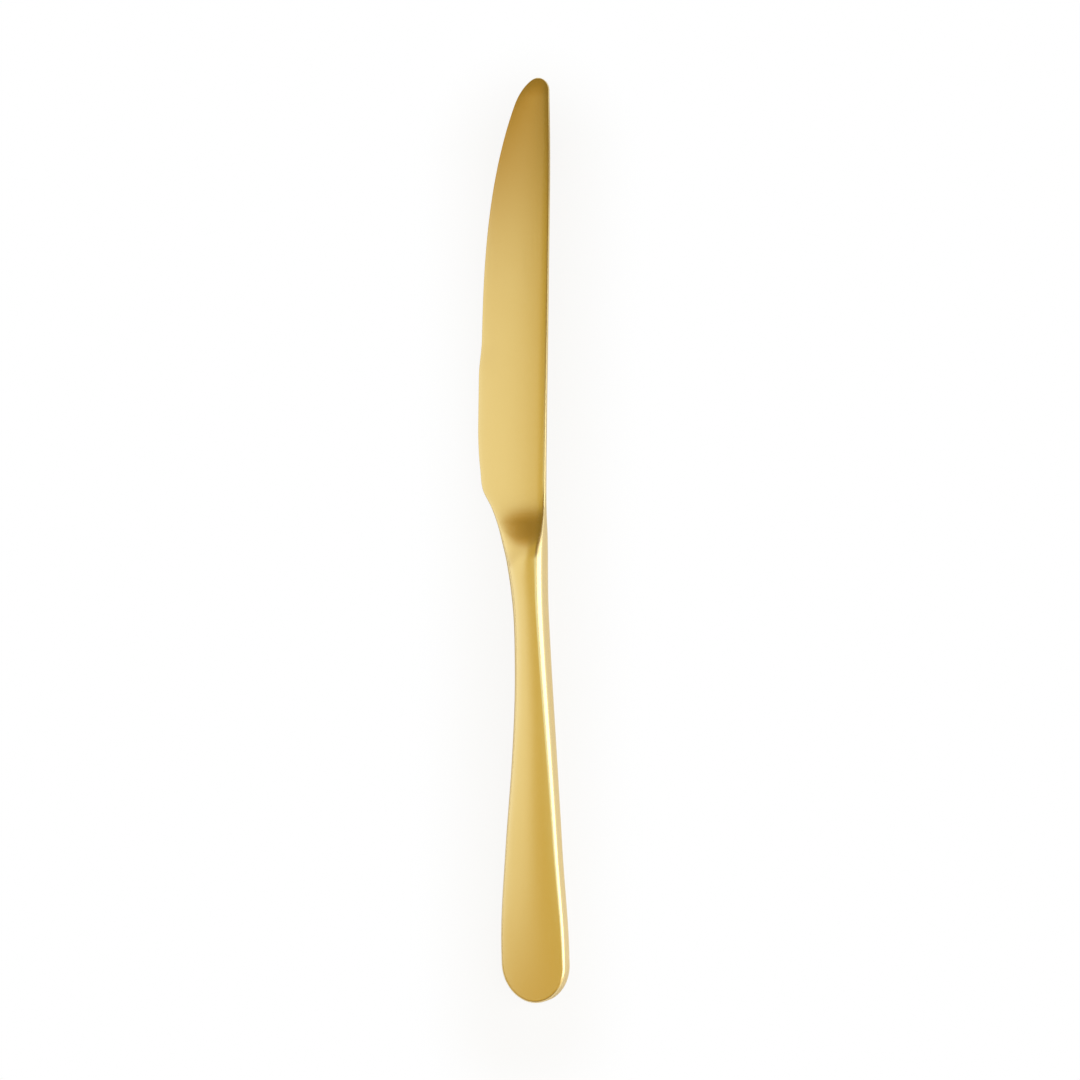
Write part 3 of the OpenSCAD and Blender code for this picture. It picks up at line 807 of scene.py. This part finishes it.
gold_steel = coated_steel("gold_steel", GOLD, STEEL_ROUGH)
gold_braze = coated_steel("gold_braze", tuple(c * BRAZE_SHADE for c in GOLD), BRAZE_ROUGH)
print("gold:", GOLD)

# %% [markdown]
# ## Blade, ramp, bolster and tang
#
# The blade is one forging from the tip to the end of the tang. From above only
# the part outside the handle shows. It could be a flat bar with bevels cut into
# it, but the ramp has another shape in every section, so it is lofted. The
# stations lie close together where the shape changes quickly, in the round of
# the tip and on the ramp, and wide apart along the blade. The last 5 mm thin out,
# and the nose is rounded.

# %% The part of the blade that shows
NOSE, NOSE_ANGLE, THIN_LEN, THIN_SHARE = 0.45, 0.03, 5, 0.35

grind_y = OVERALL - GRIND_LEN
tip_turns = np.linspace(NOSE_ANGLE, math.pi / 2, 60, endpoint=False)
stations = np.concatenate([
    OVERALL - TIP_ROUND_EDGE * (1 - np.cos(tip_turns)),
    np.linspace(OVERALL - TIP_ROUND_EDGE, grind_y + GRIND_STEP / 2, 70, endpoint=False),
    np.linspace(grind_y + GRIND_STEP / 2, grind_y - GRIND_STEP / 2, 20, endpoint=False),
    np.linspace(grind_y - GRIND_STEP / 2, ramp_top, 30, endpoint=False),
    np.linspace(ramp_top, mouth_y, 130),
])
shown = straight(stations)
nose = share((OVERALL - stations) / NOSE)
thinned = 1 - THIN_SHARE * (1 - share((OVERALL - stations) / THIN_LEN)) ** 2
shown[:, :, 2] *= (np.sqrt(nose * (2 - nose)) * thinned)[:, None]
print("sections from the tip to the mouth:", len(shown))

# %% [markdown]
# A spigot behind the bolster fits the mouth of the handle, and the tang behind
# it is what the cement grips. It is squarer than the spigot, so its sections are
# the spigot's last one, stretched and cut off at its width and thickness. At the
# notches it is narrower.

# %% Spigot and tang
WALL, FIT_GAP, SPIGOT_LEN, TANG_LEN = 1.0, 0.05, 3.0, 40.0
TANG_W, TANG_END_W, TANG_T = 4.6, 3.6, 2.8
NOTCHES, NOTCH_DEPTH, NOTCH_SLANT = ((0.25, 0.35), (0.63, 0.73)), 0.7, 0.01
SQUARE_W, SQUARE_T = 2.2, 1.5


def whole(half):
    """Closed sections: each half section and its mirror image below."""
    return np.concatenate([half, half[:, -2:0:-1] * [1, 1, -1]], 1)


spigot_y = mouth_y - SPIGOT_LEN
tang_y = spigot_y - TANG_LEN
spigot = whole(straight([mouth_y, spigot_y], inset=WALL + FIT_GAP))
pattern = spigot[-1]
wide = (pattern[:, 0] - pattern[:, 0].mean()) / np.ptp(pattern[:, 0]) * SQUARE_W
high = pattern[:, 2] / pattern[:, 2].max() * SQUARE_T
middles = [float(edge_x(np.array(v)) + spine_x(v)) / 2 for v in (spigot_y, tang_y)]

places = [s for start, end in NOTCHES for s in (start - NOTCH_SLANT, start, end, end + NOTCH_SLANT)]
tang = []
for s in (0, *places, 1):
    notched = any(start <= s <= end for start, end in NOTCHES)
    half_w = mix(TANG_W, TANG_END_W, s) / 2 - (NOTCH_DEPTH if notched else 0)
    tang.append(np.column_stack([mix(*middles, s) + half_w * np.clip(wide, -1, 1),
                                 np.full(len(pattern), mix(spigot_y, tang_y, s)),
                                 TANG_T / 2 * np.clip(high, -1, 1)]))
print("sections of the tang:", len(tang))

# %% Blade
rows = np.concatenate([whole(shown), spigot, np.stack(tang)])
count = rows.shape[1]
faces = strip(len(rows), count, closed=True)
faces += [list(range(count))[::-1], [(len(rows) - 1) * count + k for k in range(count)]]
wear_and_highlight_mask = wear_and_highlight_share(shown)
wear_and_highlight_mask = np.concatenate([wear_and_highlight_mask, wear_and_highlight_mask[:, -2:0:-1]], 1)
wear_and_highlight_mask = np.concatenate([wear_and_highlight_mask, np.zeros((len(rows) - len(wear_and_highlight_mask), count))])
piece("blade_forged", rows.reshape(-1, 3), faces, wear_and_highlight_mask, "blade", gold_steel)

# %% [markdown]
# ## Handle shells and braze
#
# Each half of the handle is pressed from 1 mm sheet. A solid handle would look
# the same from outside, but then nothing would hold the cement. So outside and
# inside are the same sections, the inside set in by the sheet's thickness, and
# rims close the seam and the mouth. The two halves leave a tenth of a millimetre between them,
# which the braze fills. It is ground flush and coated over, so no line shows.
# The lower shell's back is ground flat near the butt, where the knife rests.

# %% Skins of a shell
SEAM, LAND_HALF, LAND_LEN = 0.05, 4.5, 60
BODY_ROWS, END_ROWS, END_POWER, APEX_ANGLE = 150, 60, 0.9, math.radians(0.4)

body_y = np.linspace(mouth_y, BUTT_CAP, BODY_ROWS)
turns = math.pi / 2 * (1 - np.linspace(0, 1, END_ROWS)[1:] ** END_POWER) + APEX_ANGLE


def shell_half(inset, flat):
    """Half sections of one shell, from its mouth to the closed butt end."""
    land = LAND_HALF * share(1 - body_y / LAND_LEN) if flat else 0.0
    return np.concatenate([straight(body_y, inset=inset, foot=SEAM, land=land),
                           round_end(turns, inset=inset, foot=SEAM, land=LAND_HALF if flat else 0.0)])


def shell_faces(rows, start, flip):
    """Faces of one skin, with the narrow closing at the butt's apex."""
    made = strip(rows, POINTS, start, flip=flip)
    end = start + (rows - 1) * POINTS
    for j in range(POINTS // 2 - 1):
        quad = [end + j, end + j + 1, end + POINTS - 2 - j, end + POINTS - 1 - j]
        made.append(quad[::-1] if flip else quad)
    return made


print("rows of a skin:", len(body_y) + len(turns))

# %% Shells
def shell(name, node, flat):
    """One half of the handle: two skins and the rims between them."""
    outer, inner = shell_half(0.0, flat), shell_half(WALL, flat)
    rows, shift = len(outer), len(outer) * POINTS
    made = shell_faces(rows, 0, False) + shell_faces(rows, shift, True)
    for i in range(rows - 1):
        a, b = i * POINTS, (i + 1) * POINTS
        made.append([a, b, b + shift, a + shift])
        a, b = a + POINTS - 1, b + POINTS - 1
        made.append([b, a, a + shift, b + shift])
    made += [[j + 1, j, j + shift, j + 1 + shift] for j in range(POINTS - 1)]
    a, b = (rows - 1) * POINTS, rows * POINTS - 1
    made.append([a, b, b + shift, a + shift])
    points = np.concatenate([outer, inner]).reshape(-1, 3)
    if flat:
        points = points * [1, 1, -1]
        made = [f[::-1] for f in made]
    wear_and_highlight_mask = np.concatenate([wear_and_highlight_share(outer), np.zeros(inner.shape[:2])])
    piece(name, points, made, wear_and_highlight_mask, node, gold_steel)


shell("shell_front", "handle_shell_front", False)
shell("shell_back", "handle_shell_back", True)

# %% Braze
outer, inner = shell_half(0.0, False), shell_half(WALL, False)
loop = [(outer[i, 0], inner[i, 0]) for i in range(len(outer))]
loop += [(outer[i, -1], inner[i, -1]) for i in range(len(outer) - 1, -1, -1)]
bars = np.array([[o, i, i * [1, 1, -1], o * [1, 1, -1]] for o, i in loop])
corners = bars.shape[1]
faces = strip(len(bars), corners, closed=True)
faces += [[3, 2, 1, 0], [(len(bars) - 1) * corners + k for k in range(corners)]]
piece("braze_line", bars.reshape(-1, 3), faces, np.zeros(len(bars) * corners),
      "seam_braze", gold_braze)

# %% [markdown]
# ## Cement
#
# The cement never shows, but whoever opens the model should find it finished. It
# could be built again like the rest, but its shape is plain, so the CAD node
# stays and gets a matt, grainy stone-like material: coarse mottling for the
# filler, and fine pits as bump.

# %% Cement
STONE_DARK, STONE_PALE = (0.40, 0.38, 0.34, 1), (0.62, 0.60, 0.55, 1)
MOTTLING, PITS, PIT_STRENGTH, PIT_DEPTH = 900, 2600, 0.5, 0.00005
STONE_ROUGH, MOTTLE_ROUGH = 0.75, 0.2

cement, wire = new_material("cement")
place = wire.node("ShaderNodeTexCoord", output="Object")
mottle = wire.node("ShaderNodeTexNoise", None,
                   {"Vector": place, "Scale": MOTTLING, "Detail": 6, "Roughness": 0.7})
pits = wire.node("ShaderNodeTexVoronoi", None, {"Vector": place, "Scale": PITS})
bump = wire.node("ShaderNodeBump", None,
                 {"Strength": PIT_STRENGTH, "Distance": PIT_DEPTH, "Height": pits})
shader = wire.node("ShaderNodeBsdfPrincipled", None, {
    "Base Color": blend(wire, mottle, STONE_DARK, STONE_PALE),
    "Roughness": mottle * MOTTLE_ROUGH + STONE_ROUGH,
    "Normal": bump,
})
wire.node("ShaderNodeOutputMaterial", None, {"Surface": shader})
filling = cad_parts["tang_cement"]
filling.data.materials.clear()
filling.data.materials.append(cement)
print("cement material set on", filling.name)
